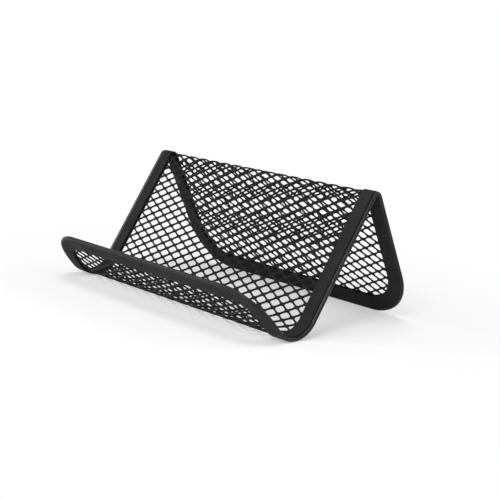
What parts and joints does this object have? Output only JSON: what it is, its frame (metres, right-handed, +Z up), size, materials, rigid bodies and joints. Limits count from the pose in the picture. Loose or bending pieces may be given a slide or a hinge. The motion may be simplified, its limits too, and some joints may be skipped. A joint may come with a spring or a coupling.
{
  "type": "business card holder stand",
  "caption": "Free-standing desk holder for business cards: folded diamond mesh with a front lip, round trough, sloped backrest and rear leg, edged by a flat black steel channel.",
  "frame": {"origin": "on the desk, under the middle of the stand's bounding box", "axes": "+X along the ridge and the lip, +Y from the lip towards the rear leg, +Z up"},
  "size_m": [0.1, 0.0708, 0.0417],
  "materials": {
    "mesh_black": "satin black powder coat on expanded steel mesh",
    "rim_black": "satin black powder coat on a rolled steel channel"
  },
  "bodies": {
    "root": {"mesh_sheet": "mesh_black", "edge_rim": "rim_black"}
  },
  "joints": []
}
